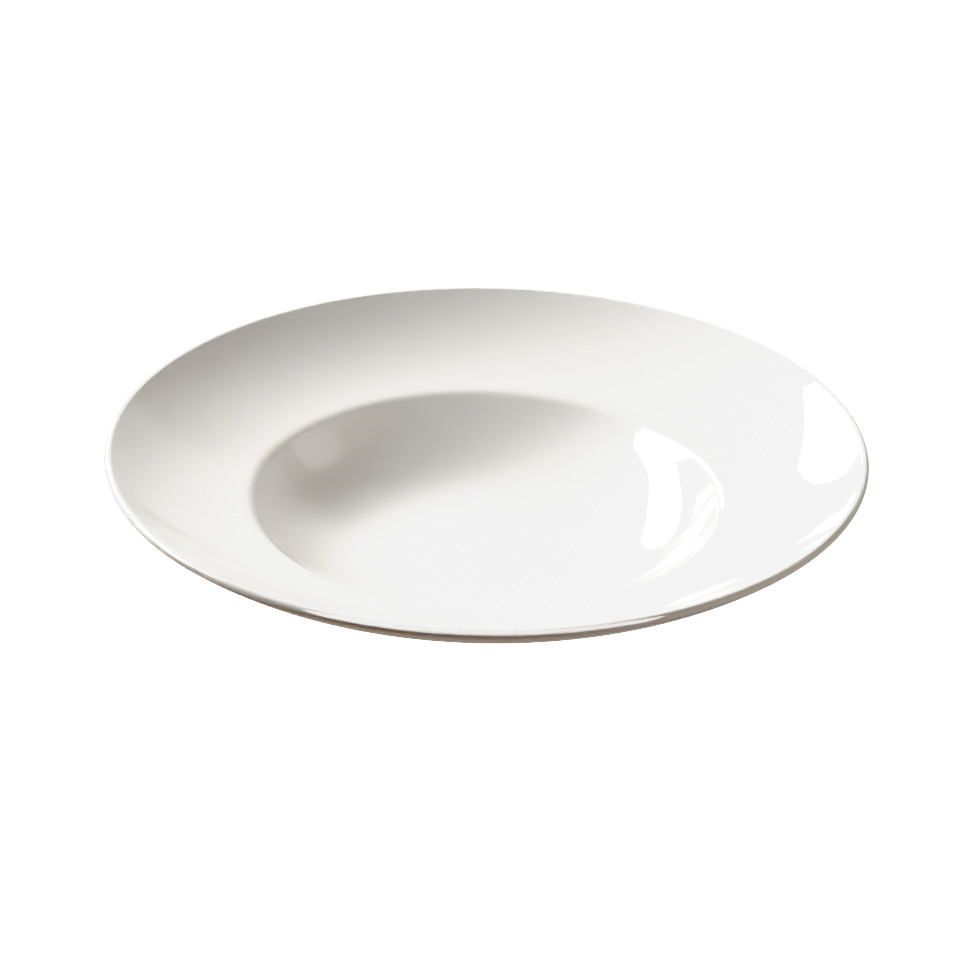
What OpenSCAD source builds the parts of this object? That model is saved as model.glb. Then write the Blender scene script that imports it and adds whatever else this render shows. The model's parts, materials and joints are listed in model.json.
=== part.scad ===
// A wide-rimmed pasta bowl of white porcelain, turned about Z and standing on Z = 0.
// The fired body is one piece. Clear glaze covers it from the floor of the well over the lip
// to just above the foot, and a second patch lies inside the foot ring. The foot itself is bare.
// All outer sizes are those of the finished bowl, with its glaze.

/* [Overall] */
// Diameter over the lip
rim_d = 300; // [280:1:330]
// Height over the lip
bowl_h = 55; // [52:0.5:60]
// Thickness of the glaze
glaze_t = 0.3; // [0.15:0.05:0.5]

/* [Rim] */
// Width of the rim, level from the edge of the well to the outside of the lip
rim_w = 54.4; // [48:0.1:62]
// Rise of the rim from the edge of the well to the top of the lip
rim_rise = 20.9; // [17:0.1:25]
// Slope of the rim's upper face where it meets the lip, in degrees
lip_slope = 34.5; // [30:0.5:38]
// Thickness of the lip, which is fully round
lip_t = 3.8; // [3:0.1:4.5]
// Thickness of the rim away from the lip
rim_t = 5; // [4.4:0.1:6]
// Radius of the curve that thins the rim's underside towards the lip, as a share of the rim's own
taper_share = 0.7; // [0.5:0.05:0.85]

/* [Well] */
// Radius of the flat floor, as a share of the radius of the well's edge
floor_share = 0.38; // [0.2:0.01:0.5]
// Radius of the rounded edge between the rim and the well
edge_r = 8.5; // [4:0.5:14]
// Thickness of the well's wall and floor
well_t = 5.2; // [4.5:0.1:6.5]
// Radius of the hollow outside, where the rim leaves the wall of the well
joint_r = 12; // [6:1:20]

/* [Foot] */
// Place of the foot's outer wall, as a share of the way from the flat floor to the well's edge
foot_share = 0.4; // [0.32:0.01:0.55]
// Width of the foot ring's bare body
foot_w = 5; // [4:0.1:8]
// Depth of the hollow inside the foot ring
foot_hollow = 3; // [2.6:0.1:4]
// Radius of the hollow between the foot and the wall of the well
foot_fillet = 3; // [1.5:0.1:5]
// Radius of the foot ring's two lower edges
foot_round = 0.8; // [0.3:0.1:0.9]
// Height of the bare band between a rounded lower edge and the glaze
bare_band = 0.2; // [0.1:0.05:0.4]

/* [Drawing] */
// Largest gap between a drawn curve and its true arc
curve_gap = 0.02; // [0.005:0.005:0.05]

/* [Hidden] */
$fn = 240;
body_white = [0.90, 0.88, 0.84];
glaze_white = [0.96, 0.96, 0.95];
hollow_white = [0.93, 0.94, 0.94];

// The point of an arc round the centre c where the surface has the slope s, in degrees.
// A positive radius is for a surface that curves upwards, a negative one for a crown.
function at(c, r, s) = c + r * [sin(s), -cos(s)];

// An arc from the slope s0 to the slope s1, with enough points to keep within curve_gap.
function arc_steps(r, turn) = max(2, ceil(abs(turn) / (2 * acos(1 - curve_gap / abs(r)))));
function arc(c, r, s0, s1) =
    let (n = arc_steps(r, s1 - s0)) [for (i = [0:n]) at(c, r, s0 + (s1 - s0) * i / n)];

// The slope at which a surface round the centre a passes the point b.
function slope_to(a, b) = atan2(b.x - a.x, a.y - b.y);

// The point at the distances ra from a and rb from b, on the left of the way from a to b.
function meet(a, ra, b, rb) =
    let (
        d = norm(b - a),
        u = (b - a) / d,
        along = (ra * ra - rb * rb + d * d) / (2 * d),
        aside = sqrt(ra * ra - along * along)
    ) a + along * u + aside * [-u.y, u.x];

// The lip
lip_r = lip_t / 2;
lip_c = [rim_d / 2 - lip_r, bowl_h - lip_r];
lip_top = at(lip_c, -lip_r, lip_slope);

// The rim's upper face: one arc from the edge of the well to the lip
crest = [rim_d / 2 - rim_w, bowl_h - rim_rise];
rim_chord = lip_top - crest;
edge_slope = 2 * atan2(rim_chord.y, rim_chord.x) - lip_slope;
rim_r = norm(rim_chord) / (2 * sin((lip_slope - edge_slope) / 2));
rim_c = at(lip_top, -rim_r, lip_slope);

// The edge of the well, and the one arc that rises to it from where the flat floor ends
edge_c = at(crest, edge_r, edge_slope);
floor_end = [floor_share * crest.x, foot_hollow + well_t];
wall_span = edge_c - floor_end;
well_r = (wall_span * wall_span - edge_r * edge_r) / (2 * (wall_span.y + edge_r));
well_c = floor_end + [0, well_r];
wall_slope = slope_to(well_c, edge_c);

// The underside: the taper behind the lip, the rim, the hollow beside the well and the well's wall
rim_under_r = rim_r + rim_t;
taper_r = taper_share * rim_under_r;
well_under_r = well_r + well_t;
taper_c = meet(lip_c, taper_r - lip_r, rim_c, rim_under_r - taper_r);
joint_c = meet(rim_c, rim_under_r + joint_r, well_c, well_under_r + joint_r);

// The foot ring, outside and inside
foot_r = floor_end.x + foot_share * (crest.x - floor_end.x);
fillet_x = foot_r + foot_fillet;
fillet_reach = well_under_r + foot_fillet;
fillet_c = [fillet_x, well_c.y - sqrt(fillet_reach * fillet_reach - (fillet_x - well_c.x) ^ 2)];
bare_r = foot_r - glaze_t;
bare_inner_r = bare_r - foot_w;
glaze_line = foot_round + bare_band;
hollow_fillet = foot_hollow - glaze_line - 2 * glaze_t;
hollow_c = [bare_inner_r - glaze_t - hollow_fillet, foot_hollow - hollow_fillet];

// The surface that lies g inside the finished one, from the middle of the floor over the lip
// to the top of the foot's outer wall.
function shell(g) = concat(
    [[0, floor_end.y - g]],
    arc(well_c, well_r + g, 0, wall_slope),
    arc(edge_c, g - edge_r, wall_slope, edge_slope),
    arc(rim_c, rim_r + g, edge_slope, lip_slope),
    arc(lip_c, g - lip_r, lip_slope, 0),
    arc(lip_c, g - lip_r, 0, -90),
    arc(lip_c, g - lip_r, -90, slope_to(taper_c, lip_c) - 180),
    arc(taper_c, taper_r - g, slope_to(taper_c, lip_c), slope_to(rim_c, taper_c)),
    arc(rim_c, rim_under_r - g, slope_to(rim_c, taper_c), slope_to(rim_c, joint_c)),
    arc(joint_c, -joint_r - g, slope_to(rim_c, joint_c), slope_to(well_c, joint_c)),
    arc(well_c, well_under_r - g, slope_to(well_c, joint_c), slope_to(well_c, fillet_c)),
    arc(fillet_c, -foot_fillet - g, slope_to(well_c, fillet_c), 90)
);

// The surface that lies g inside the finished hollow of the foot, from its wall to the middle.
function hollow(g) = concat(
    arc(hollow_c, -hollow_fillet - g, -90, 0),
    [[0, foot_hollow + g]]
);

// The bare foot, from its outer wall under the bearing face to its inner wall.
function bare_foot() = concat(
    arc([bare_r - foot_round, foot_round], foot_round, 90, 0),
    arc([bare_inner_r + foot_round, foot_round], foot_round, 0, -90)
);

// The thin edge of a glaze that ends on the foot's wall at the radius r and is proud of it by out.
function glaze_edge(r, out) = [[r + out, glaze_line + abs(out)], [r, glaze_line]];

function backwards(points) = [for (i = [len(points) - 1:-1:0]) points[i]];

// Whether point i of a list stands apart from the one before it.
function apart(points, i) = i == 0 || norm(points[i] - points[i - 1]) > curve_gap / 2;

// A solid of revolution from its outline, without the points that repeat where two arcs meet.
module turned(points) {
    rotate_extrude() polygon([for (i = [0:len(points) - 1]) if (apart(points, i)) points[i]]);
}

// The fired porcelain: bowl, rim, lip and foot ring in one
module porcelain_body() {
    color(body_white) turned(concat(shell(glaze_t), bare_foot(), hollow(glaze_t)));
}

// The glaze over the inside, the lip and the outside, with a thin edge just above the foot
module glaze_coat() {
    color(glaze_white)
        turned(concat(shell(0), glaze_edge(bare_r, glaze_t), backwards(shell(glaze_t))));
}

// The glaze inside the foot ring, with the same thin edge
module foot_recess_glaze() {
    edge = backwards(glaze_edge(bare_inner_r, -glaze_t));
    color(hollow_white) turned(concat(edge, hollow(0), backwards(hollow(glaze_t))));
}

porcelain_body();
glaze_coat();
foot_recess_glaze();
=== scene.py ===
"""A wide-rimmed pasta bowl of white glazed porcelain: its pieces and finishes, its stage and its camera."""

import json
from math import acos, atan2, ceil, cos, exp, hypot, pi, radians, sin, sqrt

import bpy
import numpy as np
from bpy.props import FloatProperty, FloatVectorProperty, PointerProperty
from mathutils import Matrix, Vector


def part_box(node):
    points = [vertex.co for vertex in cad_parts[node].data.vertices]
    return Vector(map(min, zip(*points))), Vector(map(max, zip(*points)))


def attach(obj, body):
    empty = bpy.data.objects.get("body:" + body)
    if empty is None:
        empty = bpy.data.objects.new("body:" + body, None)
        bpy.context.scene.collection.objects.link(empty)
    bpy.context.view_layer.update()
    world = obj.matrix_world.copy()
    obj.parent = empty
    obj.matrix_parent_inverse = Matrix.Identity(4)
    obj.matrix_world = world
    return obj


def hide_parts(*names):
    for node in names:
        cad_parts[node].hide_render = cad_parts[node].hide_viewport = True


bl_info = {
    "name": "Pasta Bowl",
    "version": (1, 0, 0),
    "blender": (4, 5, 0),
    "location": "View3D > Sidebar > Pasta Bowl",
    "description": "Makes a wide-rimmed porcelain pasta bowl, its glazes, a plain stage and a camera",
    "category": "Add Mesh",
}

BODY = "root"
MM = 0.001

# How finely the pieces are drawn, where they show and where they are hidden
TURNS = 360
FINE_GAP = 0.003 * MM
HIDDEN_GAP = 0.015 * MM
SAME_POINT = 0.001 * MM

# The picture: its side in pixels, the camera's sensor and farthest sight in metres, the curve's steps
PICTURE_SIDE = 960
SENSOR = 0.036
FAR_SIGHT = 100
CURVE_STEPS = 24

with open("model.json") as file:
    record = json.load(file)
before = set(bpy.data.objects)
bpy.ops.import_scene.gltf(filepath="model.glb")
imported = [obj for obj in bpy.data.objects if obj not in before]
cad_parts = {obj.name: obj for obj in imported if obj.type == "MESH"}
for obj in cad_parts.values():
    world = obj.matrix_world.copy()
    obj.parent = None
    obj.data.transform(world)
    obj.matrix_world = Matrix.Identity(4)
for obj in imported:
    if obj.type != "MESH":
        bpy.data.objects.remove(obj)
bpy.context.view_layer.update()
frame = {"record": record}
COAT_LOW, COAT_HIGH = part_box("glaze_coat")
RECESS_LOW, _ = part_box("foot_recess_glaze")
SLOT_COLOURS = {m["slot"]: m["base_color"] for m in frame["record"]["materials"]}


def length(name, description, default):
    """A size property in metres."""
    return FloatProperty(name=name, description=description, default=default, precision=5, unit="LENGTH")


def angle(name, description, degrees):
    """An angle property, given in degrees."""
    return FloatProperty(
        name=name, description=description, default=radians(degrees), subtype="ANGLE", precision=2
    )


def share(name, description, default):
    """A property from 0 to 1."""
    return FloatProperty(
        name=name, description=description, default=default, min=0, max=1, subtype="FACTOR", precision=3
    )


def amount(name, description, default):
    """A plain number, at least 0."""
    return FloatProperty(name=name, description=description, default=default, min=0, precision=3)


def colour(name, description, default):
    """A linear colour property."""
    return FloatVectorProperty(
        name=name, description=description, default=default, size=3, min=0, max=1, subtype="COLOR"
    )


class BowlShape(bpy.types.PropertyGroup):
    """The sizes of the bowl's section, as in the part's source."""

    diameter: length("Diameter", "Diameter over the lip", COAT_HIGH.x - COAT_LOW.x)
    height: length("Height", "Height over the lip", COAT_HIGH.z)
    glaze: length("Glaze", "Thickness of the glaze", 0.3 * MM)
    rim_width: length("Rim width", "From the edge of the well to the outside of the lip", 54.4 * MM)
    rim_rise: length("Rim rise", "From the edge of the well to the top of the lip", 20.9 * MM)
    lip_slope: angle("Lip slope", "Slope of the rim's upper face at the lip", 34.5)
    lip: length("Lip", "Thickness of the fully round lip", 3.8 * MM)
    rim: length("Rim", "Thickness of the rim away from the lip", 5 * MM)
    taper_share: share("Taper share", "Radius that thins the rim underneath, by the rim's own", 0.7)
    floor_share: share("Floor share", "Flat floor's radius, as a share of the well edge's", 0.38)
    edge: length("Edge", "Radius of the rounded edge between rim and well", 8.5 * MM)
    wall: length("Wall", "Thickness of the well's wall and floor", 5.2 * MM)
    joint: length("Joint", "Radius of the hollow outside, between rim and wall", 12 * MM)
    foot_share: share("Foot share", "Place of the foot between the flat floor and the edge", 0.4)
    foot_width: length("Foot width", "Width of the foot ring's bare body", 5 * MM)
    foot_hollow: length("Foot hollow", "Depth of the hollow inside the foot ring", 3 * MM)
    foot_fillet: length("Foot fillet", "Radius between the foot and the wall", 3 * MM)
    foot_round: length("Foot round", "Radius of the foot ring's two lower edges", 0.8 * MM)
    glaze_line: length("Glaze line", "Height at which the glaze stops on the foot", RECESS_LOW.z)


class BowlFinish(bpy.types.PropertyGroup):
    """The colours and surface marks of the glazes and of the bare foot, and the painted shade on the
    glaze's edges.
    """

    glaze: colour("Glaze", "Colour of the glazed porcelain", (0.838, 0.83, 0.81))
    # Painted shade: the darker, warmer colour laid along the well's edge and over the outer part of the lip
    painted_edge_shade: colour("Thin glaze", "Colour where the glaze runs thin over an edge", (0.74, 0.70, 0.63))
    gloss: share("Gloss roughness", "Roughness of the glaze", 0.02)
    ripple: length("Ripple", "Height of the slow waves in the glaze", 0.006 * MM)
    wave: length("Wave", "Length of the slow waves", 38 * MM)
    wavelet: length("Wavelet", "Length of the small waves between them", 11 * MM)
    peel: length("Peel", "Height of the fine dimples in the glaze", 0.0006 * MM)
    dimple: length("Dimple", "Size of the fine dimples", 1.6 * MM)
    pool: length("Pool", "Size of the patches where the glaze lies thicker", 55 * MM)
    # Where the painted shade lies: edge_line and edge_fade along the well's edge, lip_fade over the outer
    # part of the lip
    edge_line: length("Edge line", "Reach of the thinnest glaze on the edge of the well", 0.2 * MM)
    edge_fade: length("Edge fade", "Reach of the thin glaze on the edge of the well", 2.2 * MM)
    lip_fade: length("Lip fade", "How far inside the lip's middle the glaze starts to thin", 0.5 * MM)
    speck: colour("Speck", "Colour of the few specks under the glaze", (0.30, 0.25, 0.19))
    speck_spacing: length("Speck spacing", "Distance between the specks", 26 * MM)
    recess: colour("Recess glaze", "Colour of the glaze inside the foot ring", (0.80, 0.79, 0.765))
    recess_gloss: share("Recess roughness", "Roughness of the glaze inside the foot ring", 0.05)
    pour: length("Pour", "Height of the waves where the recess's glaze was poured out", 0.06 * MM)
    body: colour("Bare body", "Colour of the unglazed porcelain", SLOT_COLOURS["bare_porcelain"])
    body_worn: colour("Worn body", "Colour of the bare foot where it rubs on the table", (0.52, 0.48, 0.42))
    body_rough: share("Body roughness", "Roughness of the unglazed porcelain", 0.82)
    grain: length("Grain", "Size of the bare porcelain's grain", 0.35 * MM)
    wheel: length("Wheel marks", "Distance between the fine rings on the bare foot", 0.6 * MM)
    wear: length("Wear", "Height up to which the foot is rubbed", 0.35 * MM)


class BowlStudio(bpy.types.PropertyGroup):
    """The camera that the bowl is seen by, and the light it stands in."""

    distance: length("Distance", "From the camera to the middle of the lip's plane", 2.0)
    elevation: angle("Elevation", "Height of the camera over the horizon", 26.90)
    roll: angle("Roll", "Turn of the camera about its own axis", 0.94)
    focal_pixels: amount("Focal length", "Focal length in pixels of the picture", 5091)
    aim_x: amount("Aim across", "Pixel across at which the middle of the lip's plane lies", 486.9)
    aim_y: amount("Aim down", "Pixel down at which the middle of the lip's plane lies", 451.9)

    reach: length("Reach", "How far away the mirrored walls stand", 3.0)
    window_turn: angle("Window turn", "Bearing of the window's wall, clockwise from the back", -83.4)
    window: amount("Window", "Strength of the window on the left, as the glaze mirrors it", 61.5)
    curtain: amount("Curtain", "Strength of the dimmer strip on the near side of the window", 25)
    upper_light: amount("Upper light", "Strength of the window's upper part, as it lights the bowl", 157)
    lower_light: amount("Lower light", "Strength of its lower near part, as it lights the bowl", 48)
    flag_reach: length("Flag reach", "How far away the dark flag in front of the window stands", 0.5)
    panel_turn: angle("Panel turn", "Bearing of the panel on the right", 62)
    panel: amount("Panel", "Strength of the dim panel on the right, which the well mirrors", 1.6)
    flat_turn: angle("Flat turn", "Bearing of the low light strip at the back", -23)
    flat: amount("Flat", "Strength of the low light strip at the back", 5)
    back_wall: amount("Back wall", "Strength of the dim wall behind the bowl", 0.7)
    front_glow: amount("Front glow", "Strength of the card over the front, which the lip mirrors", 14)

    ambient: amount("Ambient", "Strength of the light from all round", 0.03)
    fill_turn: angle("Fill turn", "Bearing of the two soft lights on the right", 100)
    fill_spread: angle("Fill spread", "Angle across each of the two soft lights", 40)
    right_rise: angle("Right rise", "Height of the upper soft light over the horizon", 35)
    right_fill: amount("Right fill", "Strength of the upper soft light", 0.195)
    right_tint: colour("Right tint", "Colour of the upper soft light", (1.0, 0.90, 0.65))
    low_rise: angle("Low rise", "Height of the lower soft light over the horizon", 8)
    low_fill: amount("Low fill", "Strength of the lower soft light", 0.25)
    low_tint: colour("Low tint", "Colour of the lower soft light", (0.95, 0.93, 1.0))
    under: amount("Under light", "Strength of the light under the table, for views from below", 7)
    under_depth: length("Under depth", "How far under the table that light stands", 0.5)
    under_spread: angle("Under spread", "Angle across that light's cone", 24)
    under_blend: share("Under blend", "Softness of the cone's edge", 0.6)
    under_size: length("Under size", "Radius of that light", 0.05)

    floor_half: length("Floor", "Half the side of the pale floor and of the backdrop round it", 6.0)
    table_half: length("Table", "Half the side of the table that lights the underside", 0.6)
    table_drop: length("Table drop", "How far the table lies under the foot", 0.5 * MM)
    table: colour("Table colour", "Colour of the table, as it lights the underside", (0.24, 0.16, 0.10))
    sheen: colour("Sheen", "Colour that the underside mirrors", (0.42, 0.36, 0.30))

    shoulder: share("Shoulder", "Shown brightness at which the whites start to be held back", 0.905)
    plateau: share("Plateau", "Shown brightness of the lit white glaze", 0.957)
    mirror_low: amount("Mirror low", "Light level at which mirrored light starts to show on white", 1.35)
    mirror_high: amount("Mirror high", "Light level that shows as pure white", 2.1)


def at(centre, radius, slope):
    """The point of an arc where the surface has that slope. A negative radius makes a crown."""
    return np.array((centre[0] + radius * sin(slope), centre[1] - radius * cos(slope)))


def slope_to(a, b):
    """The slope at which a surface round the centre a passes the point b."""
    return atan2(b[0] - a[0], a[1] - b[1])


def meet(a, ra, b, rb):
    """The point at the distances ra from a and rb from b, on the left of the way from a to b."""
    d = hypot(*(b - a))
    u = (b - a) / d
    along = (ra**2 - rb**2 + d**2) / (2 * d)
    aside = sqrt(ra**2 - along**2)
    return a + along * u + aside * np.array((-u[1], u[0]))


def arc(centre, radius, start, end, gap):
    """A strip of rows (across, up, slope) along an arc, which keeps within gap of it."""
    steps = max(2, ceil(abs(end - start) / (2 * acos(1 - gap / abs(radius)))))
    slopes = np.linspace(start, end, steps + 1)
    across = centre[0] + radius * np.sin(slopes)
    up = centre[1] - radius * np.cos(slopes)
    return np.stack((across, up, slopes), axis=1)


def line(start, end):
    """A strip of two rows along a straight line."""
    slope = atan2(end[1] - start[1], end[0] - start[0])
    return np.array(((*start, slope), (*end, slope)))


def backwards(strips):
    """The same strips in the opposite order, each of them reversed."""
    return [strip[::-1] for strip in reversed(strips)]


class Section:
    """The centres and radii of the bowl's section, worked out from its sizes."""

    def __init__(self, shape):
        self.shape = shape
        outside = shape.diameter / 2

        # The lip
        self.lip_r = shape.lip / 2
        self.lip_c = np.array((outside - self.lip_r, shape.height - self.lip_r))
        lip_top = at(self.lip_c, -self.lip_r, shape.lip_slope)

        # The rim's upper face: one arc from the edge of the well to the lip
        self.crest = np.array((outside - shape.rim_width, shape.height - shape.rim_rise))
        chord = lip_top - self.crest
        self.edge_slope = 2 * atan2(chord[1], chord[0]) - shape.lip_slope
        self.rim_r = hypot(*chord) / (2 * sin((shape.lip_slope - self.edge_slope) / 2))
        self.rim_c = at(lip_top, -self.rim_r, shape.lip_slope)

        # The edge of the well, and the one arc that rises to it from where the flat floor ends
        self.edge_c = at(self.crest, shape.edge, self.edge_slope)
        self.floor_end = np.array((shape.floor_share * self.crest[0], shape.foot_hollow + shape.wall))
        span = self.edge_c - self.floor_end
        self.well_r = (span @ span - shape.edge**2) / (2 * (span[1] + shape.edge))
        self.well_c = self.floor_end + (0, self.well_r)
        self.wall_slope = slope_to(self.well_c, self.edge_c)

        # The underside: the taper behind the lip, the rim, the hollow beside the well and the well's wall
        self.rim_under_r = self.rim_r + shape.rim
        self.taper_r = shape.taper_share * self.rim_under_r
        self.well_under_r = self.well_r + shape.wall
        self.taper_c = meet(
            self.lip_c, self.taper_r - self.lip_r, self.rim_c, self.rim_under_r - self.taper_r
        )
        self.joint_c = meet(
            self.rim_c, self.rim_under_r + shape.joint, self.well_c, self.well_under_r + shape.joint
        )

        # The foot ring, outside and inside
        foot_r = self.floor_end[0] + shape.foot_share * (self.crest[0] - self.floor_end[0])
        fillet_x = foot_r + shape.foot_fillet
        fillet_reach = self.well_under_r + shape.foot_fillet
        drop = sqrt(fillet_reach**2 - (fillet_x - self.well_c[0]) ** 2)
        self.fillet_c = np.array((fillet_x, self.well_c[1] - drop))
        self.bare_r = foot_r - shape.glaze
        self.bare_inner_r = self.bare_r - shape.foot_width
        self.hollow_r = shape.foot_hollow - shape.glaze_line - 2 * shape.glaze
        hollow_wall = self.bare_inner_r - shape.glaze
        self.hollow_c = np.array((hollow_wall - self.hollow_r, shape.foot_hollow - self.hollow_r))

    def shell(self, inside, gap):
        """The surface that far inside the finished one, from the floor over the lip to the foot."""
        s = self.shape
        under_lip = slope_to(self.taper_c, self.lip_c)
        under_taper = slope_to(self.rim_c, self.taper_c)
        under_rim = slope_to(self.rim_c, self.joint_c)
        under_joint = slope_to(self.well_c, self.joint_c)
        under_wall = slope_to(self.well_c, self.fillet_c)
        arcs = (
            (self.well_c, self.well_r + inside, 0, self.wall_slope),
            (self.edge_c, inside - s.edge, self.wall_slope, self.edge_slope),
            (self.rim_c, self.rim_r + inside, self.edge_slope, s.lip_slope),
            (self.lip_c, inside - self.lip_r, s.lip_slope, under_lip - pi),
            (self.taper_c, self.taper_r - inside, under_lip, under_taper),
            (self.rim_c, self.rim_under_r - inside, under_taper, under_rim),
            (self.joint_c, -s.joint - inside, under_rim, under_joint),
            (self.well_c, self.well_under_r - inside, under_joint, under_wall),
            (self.fillet_c, -s.foot_fillet - inside, under_wall, pi / 2),
        )
        strips = [arc(*values, gap) for values in arcs]
        middle = (0, self.floor_end[1] - inside)
        return [line(middle, strips[0][0][:2]), *strips]

    def hollow(self, inside, gap):
        """The surface that far inside the hollow of the foot, from its wall to the middle."""
        fillet = arc(self.hollow_c, -self.hollow_r - inside, -pi / 2, 0, gap)
        return [fillet, line(fillet[-1][:2], (0, self.shape.foot_hollow + inside))]

    def bare_foot(self, gap):
        """The bare foot, from its outer wall under the bearing face to its inner wall."""
        r = self.shape.foot_round
        outer = arc((self.bare_r - r, r), r, pi / 2, 0, gap)
        inner = arc((self.bare_inner_r + r, r), r, 0, -pi / 2, gap)
        return [outer, line(outer[-1][:2], inner[0][:2]), inner]

    def glaze_edge(self, radius, out):
        """The thin edge of a glaze on the foot's wall, from its own face to the wall."""
        up = self.shape.glaze_line
        return [line((radius + out, up + abs(out)), (radius, up))]


def joined(strips):
    """The strips, with a straight one wherever one doesn't start where the last one ends."""
    chain = []
    for strip, after in zip(strips, strips[1:] + strips[:1]):
        chain.append(strip)
        here = strip[-1][:2]
        there = after[0][:2]
        on_axis = here[0] < SAME_POINT and there[0] < SAME_POINT
        if hypot(*(there - here)) > SAME_POINT and not on_axis:
            chain.append(line(here, there))
    return chain


def lathe(name, strips):
    """A closed mesh turned about Z from strips of rows (across, up, slope), with exact normals."""
    verts = []
    rings = {}
    faces = []
    normals = []
    angles = np.linspace(0, 2 * pi, TURNS, endpoint=False)
    around = np.stack((np.cos(angles), np.sin(angles)), axis=1)

    def ring(row):
        """The numbers of the vertices round one point of the outline."""
        key = (round(row[0] / SAME_POINT), round(row[1] / SAME_POINT))
        if key not in rings:
            start = len(verts)
            if row[0] < SAME_POINT:
                verts.append((0.0, 0.0, row[1]))
                rings[key] = [start] * TURNS
            else:
                verts.extend(np.column_stack((around * row[0], np.full(TURNS, row[1]))).tolist())
                rings[key] = list(range(start, start + TURNS))
        return rings[key]

    def lean(slope, sense, i):
        """The outward normal at one turn of a point with that slope."""
        out = -sin(slope) * sense
        x, y = around[i % TURNS]
        return (x * out, y * out, cos(slope) * sense)

    for strip in joined(strips):
        for a, b in zip(strip, strip[1:]):
            step = b[:2] - a[:2]
            if hypot(*step) < SAME_POINT:
                continue
            middle = (a[2] + b[2]) / 2
            sense = 1 if step[0] * cos(middle) + step[1] * sin(middle) > 0 else -1
            inner = ring(a)
            outer = ring(b)
            for i in range(TURNS):
                j = (i + 1) % TURNS
                corners = [(inner[i], a, i), (outer[i], b, i), (outer[j], b, j), (inner[j], a, j)]
                if a[0] < SAME_POINT:
                    corners.pop(3)
                if b[0] < SAME_POINT:
                    corners.pop(2)
                faces.append([vertex for vertex, _, _ in corners])
                normals.extend(lean(row[2], sense, turn) for _, row, turn in corners)

    mesh = bpy.data.meshes.new(name)
    mesh.from_pydata(verts, [], faces)
    mesh.polygons.foreach_set("use_smooth", [True] * len(faces))
    mesh.normals_split_custom_set(normals)
    mesh.update()
    piece = bpy.data.objects.new(name, mesh)
    bpy.context.scene.collection.objects.link(piece)
    return piece


class Socket:
    """One output of a node. A sum, difference, product or quotient of sockets adds a Math node."""

    def __init__(self, finish, link):
        self.finish = finish
        self.link = link

    def maths(self, operation, a, b):
        return self.finish.node("ShaderNodeMath", {"operation": operation}, {0: a, 1: b})

    def __add__(self, other):
        return self.maths("ADD", self, other)

    def __radd__(self, other):
        return self.maths("ADD", other, self)

    def __sub__(self, other):
        return self.maths("SUBTRACT", self, other)

    def __rsub__(self, other):
        return self.maths("SUBTRACT", other, self)

    def __mul__(self, other):
        return self.maths("MULTIPLY", self, other)

    def __truediv__(self, other):
        return self.maths("DIVIDE", self, other)


class Finish:
    """A material in the making."""

    def __init__(self, name):
        self.material = bpy.data.materials.new(name)
        self.material.use_nodes = True
        self.tree = self.material.node_tree
        self.tree.nodes.clear()

    def node(self, kind, settings, sockets, output=0):
        """Adds a node, sets it up, feeds its sockets with values or links, and gives one of its outputs."""
        made = self.tree.nodes.new(kind)
        for setting, value in settings.items():
            setattr(made, setting, value)
        for socket, value in sockets.items():
            if isinstance(value, Socket):
                self.tree.links.new(value.link, made.inputs[socket])
            else:
                made.inputs[socket].default_value = value
        return Socket(self, made.outputs[output]) if made.outputs else made

    def place(self):
        """The point on the surface, in metres."""
        return self.node("ShaderNodeTexCoord", {}, {}, "Object")

    def radius(self):
        """The distance from the bowl's axis."""
        flattened = {0: self.place(), 1: (1, 1, 0)}
        level = self.node("ShaderNodeVectorMath", {"operation": "MULTIPLY"}, flattened)
        return self.node("ShaderNodeVectorMath", {"operation": "LENGTH"}, {0: level}, "Value")

    def height(self):
        """The height over the table."""
        return self.node("ShaderNodeSeparateXYZ", {}, {0: self.place()}, "Z")

    def noise(self, size, detail=2):
        """Smooth noise from 0 to 1, with lumps of that size in metres."""
        sockets = {"Vector": self.place(), "Scale": 1 / size, "Detail": detail}
        return self.node("ShaderNodeTexNoise", {"noise_dimensions": "3D"}, sockets, "Fac")

    def dots(self, spacing, low, high):
        """1 within low of a scattered dot's middle and 0 beyond high, both as shares of the spacing."""
        sockets = {"Vector": self.place(), "Scale": 1 / spacing}
        off_middle = self.node("ShaderNodeTexVoronoi", {"feature": "F1"}, sockets, "Distance")
        return 1 - self.steps(off_middle, low, high)

    def steps(self, value, low, high):
        """0 where the value is at or under low, 1 at or over high, and a smooth rise between."""
        settings = {"interpolation_type": "SMOOTHSTEP", "clamp": True}
        sockets = {"Value": value, "From Min": low, "From Max": high}
        return self.node("ShaderNodeMapRange", settings, sockets)

    def blend(self, factor, a, b):
        """From colour a at 0 to colour b at 1."""
        settings = {"data_type": "RGBA", "blend_type": "MIX", "clamp_factor": True}
        return self.node("ShaderNodeMix", settings, {"Factor": factor, 6: a, 7: b}, 2)

    def bump(self, height):
        """A bump from a number socket that holds its height in metres."""
        return self.node("ShaderNodeBump", {}, {"Strength": 1, "Distance": MM, "Height": height / MM})

    def surface(self, **sockets):
        """Ends the material in one Principled shader. Underscores in a name stand for spaces."""
        named = {name.replace("_", " "): value for name, value in sockets.items()}
        self.end(self.node("ShaderNodeBsdfPrincipled", {}, named))
        return self.material

    def end(self, shader):
        """Shows that shader on the surface."""
        self.node("ShaderNodeOutputMaterial", {}, {"Surface": shader})


def opaque(rgb, tone=1):
    """A colour, toned down by a factor, as the four numbers that a colour socket takes."""
    return (*(c * tone for c in rgb), 1)


GLASS_IOR = 1.5

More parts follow.
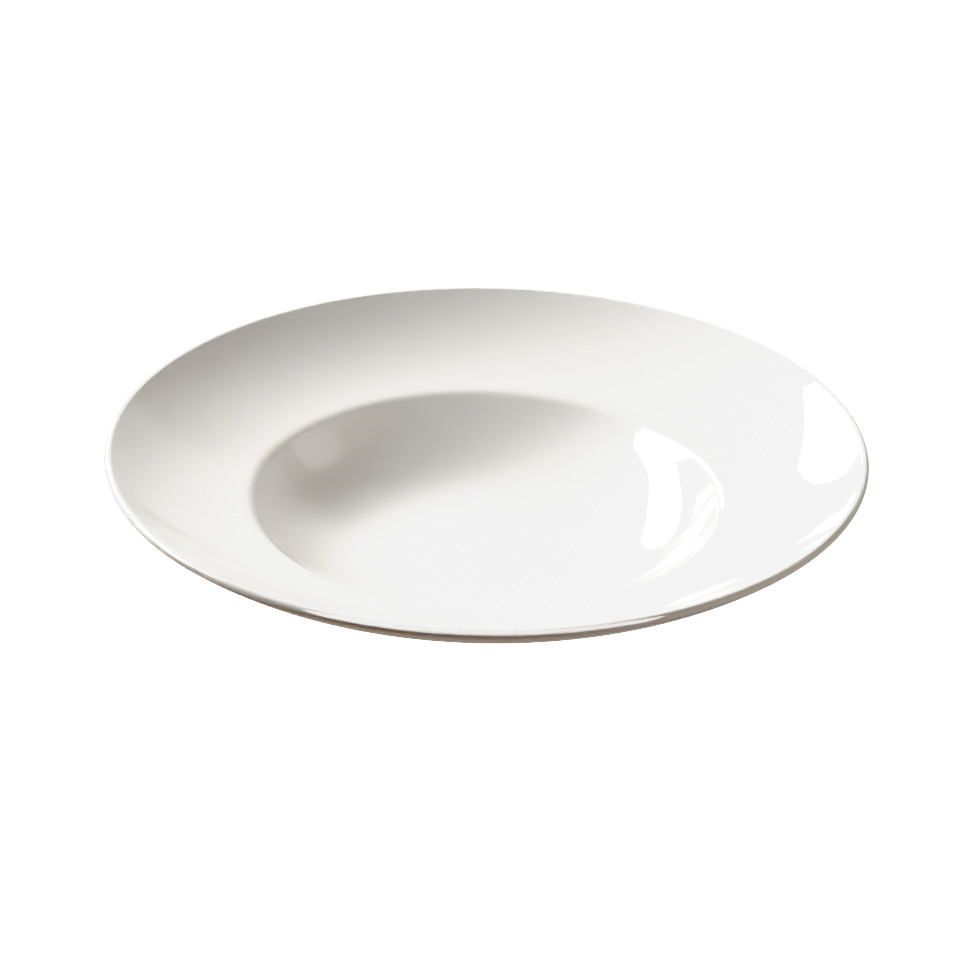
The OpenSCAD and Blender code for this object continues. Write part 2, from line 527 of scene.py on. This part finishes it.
# How strongly the painted shade on the well's edge and the lip, and the glaze's pools, specks and small
# waves show
EDGE_SHADE = 0.35
LIP_SHADE = 0.3
LEAST_SHADE = 0.6
SHADE_RANGE = 0.8
POOL_SHARE = 0.35
POOL_TONE = 0.985
SPECK_SHARE = 0.45
SPECK_MIDDLE = 0.005
SPECK_EDGE = 0.012
WAVELET_SHARE = 0.12
GLOSS_PATCH = 9 * MM
GLOSS_RANGE = 0.025


def glazed_porcelain(looks, section):
    """Clear glaze on white porcelain: waves, dimples and a few specks, with painted shade, darker and
    warmer, along the well's edge and over the lip.
    """
    f = Finish("glazed_porcelain")
    radius = f.radius()
    off_crest = f.node("ShaderNodeMath", {"operation": "ABSOLUTE"}, {0: radius - section.crest[0]})
    # Painted shade: a darker, warmer line along the well's edge and over the outer part of the lip, varied
    # by the pools
    crest_shade = 1 - f.steps(off_crest, looks.edge_line, looks.edge_fade)
    lip_middle = section.lip_c[0]
    lip_shade = f.steps(radius, lip_middle - looks.lip_fade, lip_middle + section.lip_r)
    pooled = f.noise(looks.pool, 3)
    painted_shade = crest_shade * EDGE_SHADE + lip_shade * LIP_SHADE
    painted_shade = painted_shade * (LEAST_SHADE + pooled * SHADE_RANGE)

    base = f.blend(pooled * POOL_SHARE, opaque(looks.glaze), opaque(looks.glaze, POOL_TONE))
    # Lays the painted shade over the glaze's colour
    base = f.blend(painted_shade, base, opaque(looks.painted_edge_shade))
    specks = f.dots(looks.speck_spacing, SPECK_MIDDLE, SPECK_EDGE)
    base = f.blend(specks * SPECK_SHARE, base, opaque(looks.speck))

    waves = f.noise(looks.wave, 1) * looks.ripple
    wavelets = f.noise(looks.wavelet, 1) * (looks.ripple * WAVELET_SHARE)
    dimples = f.noise(looks.dimple) * looks.peel
    return f.surface(
        Base_Color=base,
        Roughness=looks.gloss + f.noise(GLOSS_PATCH, 3) * GLOSS_RANGE,
        IOR=GLASS_IOR,
        Normal=f.bump(waves + wavelets + dimples),
    )


# The glaze inside the foot ring: its patches, its waves and dimples, and how far its gloss varies
RECESS_POOL = 22 * MM
RECESS_TONE = 0.95
RECESS_SHARE = 0.5
POUR_WAVE = 14 * MM
POUR_DIMPLE = 2 * MM
POUR_DIMPLE_HEIGHT = 0.004 * MM
RECESS_PATCH = 7 * MM
RECESS_RANGE = 0.06


def recess_porcelain(looks):
    """The glaze inside the foot ring, a little uneven where it was poured out."""
    f = Finish("recess_glaze")
    pooled = f.noise(RECESS_POOL, 3) * RECESS_SHARE
    waves = f.noise(POUR_WAVE) * looks.pour
    dimples = f.noise(POUR_DIMPLE) * POUR_DIMPLE_HEIGHT
    return f.surface(
        Base_Color=f.blend(pooled, opaque(looks.recess), opaque(looks.recess, RECESS_TONE)),
        Roughness=looks.recess_gloss + f.noise(RECESS_PATCH, 3) * RECESS_RANGE,
        IOR=GLASS_IOR,
        Normal=f.bump(waves + dimples),
    )


# The bare foot: its grain, its wheel marks, and the blotches where it is rubbed grey and smoother
GRAIN_SHARE = 0.3
GRAIN_TONE = 0.9
GRAIN_HEIGHT = 0.03 * MM
WHEEL_HEIGHT = 0.008 * MM
WEAR_START = 0.02 * MM
BLOTCH = 6 * MM
BLOTCH_LOW = 0.35
BLOTCH_HIGH = 0.6
WORN_SHARE = 0.55
WORN_SMOOTHER = 0.22


def bare_porcelain(looks):
    """Fired porcelain without glaze: matt and fine-grained, rubbed grey where it stands."""
    f = Finish("bare_porcelain")
    grain = f.noise(looks.grain, 3)
    low_down = 1 - f.steps(f.height(), WEAR_START, looks.wear)
    worn = low_down * f.steps(f.noise(BLOTCH, 3), BLOTCH_LOW, BLOTCH_HIGH)
    base = f.blend(grain * GRAIN_SHARE, opaque(looks.body), opaque(looks.body, GRAIN_TONE))
    base = f.blend(worn * WORN_SHARE, base, opaque(looks.body_worn))
    turns = f.radius() * (2 * pi / looks.wheel)
    rings = f.node("ShaderNodeMath", {"operation": "SINE"}, {0: turns})
    return f.surface(
        Base_Color=base,
        Roughness=looks.body_rough - worn * WORN_SMOOTHER,
        IOR=GLASS_IOR,
        Normal=f.bump(grain * GRAIN_HEIGHT + rings * WHEEL_HEIGHT),
    )


def settle(piece, node, material):
    """Gives a piece its finish and puts it in the place of its node."""
    piece.data.materials.append(material)
    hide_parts(node)
    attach(piece, BODY)


class BOWL_OT_porcelain_body(bpy.types.Operator):
    """Turns the fired porcelain body, of which the foot ring's bare edge shows"""

    bl_idname = "bowl.porcelain_body"
    bl_label = "Porcelain Body"

    def execute(self, context):
        section = Section(context.scene.bowl_shape)
        inside = section.shape.glaze
        strips = (
            section.shell(inside, HIDDEN_GAP)
            + section.bare_foot(FINE_GAP)
            + section.hollow(inside, HIDDEN_GAP)
        )
        piece = lathe("body_of_porcelain", strips)
        settle(piece, "porcelain_body", bare_porcelain(context.scene.bowl_finish))
        return {"FINISHED"}


class BOWL_OT_glaze_coat(bpy.types.Operator):
    """Turns the glaze that covers the inside, the lip and the outside down to the foot"""

    bl_idname = "bowl.glaze_coat"
    bl_label = "Glaze Coat"

    def execute(self, context):
        section = Section(context.scene.bowl_shape)
        inside = section.shape.glaze
        strips = (
            section.shell(0, FINE_GAP)
            + section.glaze_edge(section.bare_r, inside)
            + backwards(section.shell(inside, HIDDEN_GAP))
        )
        piece = lathe("coat_of_glaze", strips)
        settle(piece, "glaze_coat", glazed_porcelain(context.scene.bowl_finish, section))
        return {"FINISHED"}


class BOWL_OT_foot_recess_glaze(bpy.types.Operator):
    """Turns the patch of glaze inside the foot ring"""

    bl_idname = "bowl.foot_recess_glaze"
    bl_label = "Foot Recess Glaze"

    def execute(self, context):
        section = Section(context.scene.bowl_shape)
        inside = section.shape.glaze
        strips = (
            backwards(section.glaze_edge(section.bare_inner_r, -inside))
            + section.hollow(0, FINE_GAP)
            + backwards(section.hollow(inside, HIDDEN_GAP))
        )
        piece = lathe("glaze_in_the_foot", strips)
        settle(piece, "foot_recess_glaze", recess_porcelain(context.scene.bowl_finish))
        return {"FINISHED"}


WHITE = (1, 1, 1)
FLOOR_GLOW = 4

# The rays that pass by a piece that is only seen, one that is only mirrored and one that only lights
BACKDROP = ("diffuse", "glossy", "shadow")
MIRRORED = ("camera", "diffuse", "shadow")
SHINING = ("camera", "glossy", "shadow")

# Corners on the stage's upright walls: along the wall and up from the lip's plane, by the wall's reach
WINDOW = (
    (0.5, 0.66), (0.8, 0.65), (1.07, 0.61), (1.76, 0.52), (2.05, 0.53), (2.2, 0.64),
    (2.28, 0.82), (2.25, 1.0), (2.15, 1.12), (1.05, 1.08), (0.85, 1.03), (0.5, 1.02),
)
CURTAIN = ((0.5, 0.64), (0.5, 1.04), (0.15, 1.07), (0.0, 0.95), (0.0, 0.3), (0.5, 0.34), (0.52, 0.52))
FLAG = ((1.2, 1.15), (1.3, 1.3), (1.1, 1.4), (1.0, 1.2))
PANEL = ((0.333, 0.894), (0.059, 1.124), (-0.214, 0.849), (-0.144, 0.626), (-0.023, 0.534))
BACK_FLAT = ((-0.26, 0), (0.27, 0), (0.27, 0.02), (0.12, 0.08), (-0.06, 0.2), (-0.26, 0.31))
BACK_WALL = ((-0.22, 0), (1.2, 0), (1.2, 0.6), (-0.22, 0.6))
UPPER_LIGHT = ((0.95, 0.8), (1.5, 0.8), (1.5, 1.08), (0.95, 1.08))
LOWER_LIGHT = ((0.05, 0.53), (0.5, 0.53), (0.5, 0.8), (0.05, 0.8))

# A card that leans over the front of the lip, in millimetres from the bowl's own origin
FRONT_GLOW = (
    (-140, -215, 60), (140, -215, 60), (140, -168, 135),
    (80, -105, 235), (-80, -105, 235), (-140, -168, 135),
)


def matt(name, rgb):
    """A plain matt material for the stage."""
    return Finish(name).surface(Base_Color=opaque(rgb), Roughness=1, Specular_IOR_Level=0)


def glowing(name, rgb, strength):
    """A material that only gives light."""
    f = Finish(name)
    f.end(f.node("ShaderNodeEmission", {}, {"Color": opaque(rgb), "Strength": strength}))
    return f.material


def one_sided(name, rgb, strength):
    """A material that gives light upwards and is clear from below."""
    f = Finish(name)
    glow = f.node("ShaderNodeEmission", {}, {"Color": opaque(rgb), "Strength": strength})
    clear = f.node("ShaderNodeBsdfTransparent", {}, {})
    behind = f.node("ShaderNodeNewGeometry", {}, {}, "Backfacing")
    f.end(f.node("ShaderNodeMixShader", {}, {0: behind, 1: glow, 2: clear}))
    return f.material


def flat_piece(name, corners, material, passed_by):
    """A flat stage piece, which the named kinds of rays don't meet."""
    mesh = bpy.data.meshes.new(name)
    mesh.from_pydata(corners, [], [tuple(range(len(corners)))])
    mesh.materials.append(material)
    card = bpy.data.objects.new(name, mesh)
    bpy.context.scene.collection.objects.link(card)
    for ray in passed_by:
        setattr(card, "visible_" + ray, False)


def level_square(half, height):
    """The corners of a level square round the bowl's axis."""
    return [(x * half, y * half, height) for x, y in ((-1, -1), (1, -1), (1, 1), (-1, 1))]


def bearing(turn):
    """The level direction with that bearing, clockwise from the back."""
    return Vector((sin(turn), cos(turn), 0))


def upright_corners(middle, turn, reach, corners):
    """The corners of a piece on an upright wall with that bearing and reach."""
    away = bearing(turn)
    beside = Vector((away.y, -away.x, 0))
    up = Vector((0, 0, 1))
    return [tuple(middle + reach * (away + across * beside + rise * up)) for across, rise in corners]


# The formula between light levels and shown brightness, and the curve that works on all three colours
SHOWN_GAIN = 1.055
SHOWN_OFFSET = 0.055
SHOWN_POWER = 2.4
ALL_COLOURS = 3


def shown(level):
    """The shown brightness of a light level, from 0 to 1."""
    return SHOWN_GAIN * level ** (1 / SHOWN_POWER) - SHOWN_OFFSET


def level_of(brightness):
    """The light level that is shown with that brightness."""
    return ((brightness + SHOWN_OFFSET) / SHOWN_GAIN) ** SHOWN_POWER


class BOWL_OT_stage(bpy.types.Operator):
    """Sets the floor, the lights, the camera and how the picture is developed"""

    bl_idname = "bowl.stage"
    bl_label = "Stage"

    def execute(self, context):
        studio = context.scene.bowl_studio
        shape = context.scene.bowl_shape
        middle = Vector((0, 0, shape.height))
        self.floor(studio)
        self.walls(studio, middle)
        self.lamps(context, studio, middle)
        self.camera(context, studio, shape)
        self.develop(context, studio)
        return {"FINISHED"}

    def floor(self, studio):
        """A pale floor and backdrop that only the camera sees, and the table that lights the underside."""
        half = studio.floor_half
        floor = level_square(half, 0)
        low = level_square(half, -half)
        high = level_square(half, half)
        flat_piece("floor", floor, one_sided("pale_floor", WHITE, FLOOR_GLOW), BACKDROP)
        pale = glowing("pale_backdrop", WHITE, FLOOR_GLOW)
        for i in range(len(floor)):
            j = (i + 1) % len(floor)
            flat_piece(f"backdrop_{i}", [low[i], low[j], high[j], high[i]], pale, BACKDROP)
        flat_piece("backdrop_top", high, pale, BACKDROP)
        flat_piece("backdrop_bottom", low, pale, BACKDROP)
        table = level_square(studio.table_half, -studio.table_drop)
        flat_piece("table", table, matt("table_top", studio.table), SHINING)
        flat_piece("sheen_card", table, glowing("sheen", studio.sheen, 1), MIRRORED)

    def walls(self, studio, middle):
        """What the glaze mirrors, and apart from it what lights the bowl from the same side."""
        window = studio.window_turn
        reach = studio.reach
        for name, turn, away, corners, strength, passed_by in (
            ("window", window, reach, WINDOW, studio.window, MIRRORED),
            ("curtain", window, reach, CURTAIN, studio.curtain, MIRRORED),
            ("right_panel", studio.panel_turn, reach, PANEL, studio.panel, MIRRORED),
            ("back_flat", studio.flat_turn, reach, BACK_FLAT, studio.flat, MIRRORED),
            ("back_wall", 0, reach, BACK_WALL, studio.back_wall, MIRRORED),
            ("upper_light", window, reach, UPPER_LIGHT, studio.upper_light, SHINING),
            ("lower_light", window, reach, LOWER_LIGHT, studio.lower_light, SHINING),
            ("flag", window, studio.flag_reach, FLAG, 0, MIRRORED),
        ):
            places = upright_corners(middle, turn, away, corners)
            flat_piece(name, places, glowing(name + "_glow", WHITE, strength), passed_by)
        card = [(x * MM, y * MM, z * MM) for x, y, z in FRONT_GLOW]
        flat_piece("front_glow", card, glowing("front_glow_light", WHITE, studio.front_glow), MIRRORED)

    def lamps(self, context, studio, middle):
        """A little light from all round, two soft lights on the right, and one from under the table."""
        world = bpy.data.worlds.new("studio")
        context.scene.world = world
        world.use_nodes = True
        background = world.node_tree.nodes["Background"]
        background.inputs["Color"].default_value = opaque(WHITE)
        background.inputs["Strength"].default_value = studio.ambient

        for name, rise, strength, tint in (
            ("right_fill", studio.right_rise, studio.right_fill, studio.right_tint),
            ("low_fill", studio.low_rise, studio.low_fill, studio.low_tint),
        ):
            towards = cos(rise) * bearing(studio.fill_turn) + Vector((0, 0, sin(rise)))
            fill = self.lamp(context, name, "SUN", middle + towards, towards)
            fill.energy = strength * pi
            fill.angle = studio.fill_spread
            fill.color = tint
        down = Vector((0, 0, -1))
        under = self.lamp(context, "under_light", "SPOT", studio.under_depth * down, down)
        under.energy = studio.under
        under.spot_size = studio.under_spread
        under.spot_blend = studio.under_blend
        under.shadow_soft_size = studio.under_size

    def lamp(self, context, name, kind, place, towards):
        """A lamp that shines from the direction of towards and isn't mirrored. Gives its data."""
        data = bpy.data.lights.new(name, kind)
        lamp = bpy.data.objects.new(name, data)
        context.scene.collection.objects.link(lamp)
        lamp.location = place
        lamp.rotation_euler = towards.to_track_quat("Z", "Y").to_euler()
        lamp.visible_glossy = False
        return data

    def camera(self, context, studio, shape):
        """The camera, whose shift puts the middle of the lip's plane on its pixel."""
        target = Vector((0, 0, shape.height - shape.lip / 2))
        rise = studio.elevation
        back = Vector((0, -cos(rise), sin(rise)))
        data = bpy.data.cameras.new("camera")
        data.sensor_width = SENSOR / MM
        data.lens = studio.focal_pixels / PICTURE_SIDE * SENSOR / MM
        data.shift_x = (PICTURE_SIDE / 2 - studio.aim_x) / PICTURE_SIDE
        data.shift_y = (studio.aim_y - PICTURE_SIDE / 2) / PICTURE_SIDE
        data.clip_end = FAR_SIGHT
        eye = bpy.data.objects.new("camera", data)
        context.scene.collection.objects.link(eye)
        turn = (-back).to_track_quat("-Z", "Y").to_matrix() @ Matrix.Rotation(studio.roll, 3, "Z")
        eye.matrix_world = Matrix.Translation(target + back * studio.distance) @ turn.to_4x4()
        context.scene.camera = eye

    def develop(self, context, studio):
        """Holds lit white glaze at the plateau, and lets only mirrored light rise over it."""
        view = context.scene.view_settings
        view.view_transform = "Standard"
        view.look = "None"
        view.use_curve_mapping = True
        top = studio.mirror_high
        view.curve_mapping.white_level = (top, top, top)
        curve = view.curve_mapping.curves[ALL_COLOURS]
        start = level_of(studio.shoulder)
        room = studio.plateau - studio.shoulder
        for i in range(CURVE_STEPS):
            light = start * (top / start) ** (i / CURVE_STEPS)
            held = studio.shoulder + room * (1 - exp((studio.shoulder - shown(light)) / room))
            over = max(0, (light - studio.mirror_low) / (top - studio.mirror_low))
            mirrored = (1 - studio.plateau) * over**2 * (3 - 2 * over)
            curve.points.new(light / top, level_of(held + mirrored))
        for point in curve.points:
            point.handle_type = "VECTOR"
        view.curve_mapping.update()


class BOWL_PT_parts(bpy.types.Panel):
    """Lists the pieces, their sizes and their finishes"""

    bl_label = "Pasta Bowl"
    bl_idname = "BOWL_PT_parts"
    bl_space_type = "VIEW_3D"
    bl_region_type = "UI"
    bl_category = "Pasta Bowl"

    def draw(self, context):
        for operator in OPERATORS:
            self.layout.operator(operator.bl_idname)
        for name in GROUPS:
            group = getattr(context.scene, name)
            box = self.layout.box()
            for setting in group.__annotations__:
                box.prop(group, setting)


GROUPS = {"bowl_shape": BowlShape, "bowl_finish": BowlFinish, "bowl_studio": BowlStudio}
OPERATORS = (
    BOWL_OT_porcelain_body,
    BOWL_OT_glaze_coat,
    BOWL_OT_foot_recess_glaze,
    BOWL_OT_stage,
)


def register():
    for cls in (*GROUPS.values(), *OPERATORS, BOWL_PT_parts):
        bpy.utils.register_class(cls)
    for name, group in GROUPS.items():
        setattr(bpy.types.Scene, name, PointerProperty(type=group))


def unregister():
    for name in GROUPS:
        delattr(bpy.types.Scene, name)
    for cls in (BOWL_PT_parts, *reversed(OPERATORS), *GROUPS.values()):
        bpy.utils.unregister_class(cls)


def main():
    register()
    bpy.ops.bowl.porcelain_body()
    bpy.ops.bowl.glaze_coat()
    bpy.ops.bowl.foot_recess_glaze()
    bpy.ops.bowl.stage()


if __name__ == "__main__":
    main()
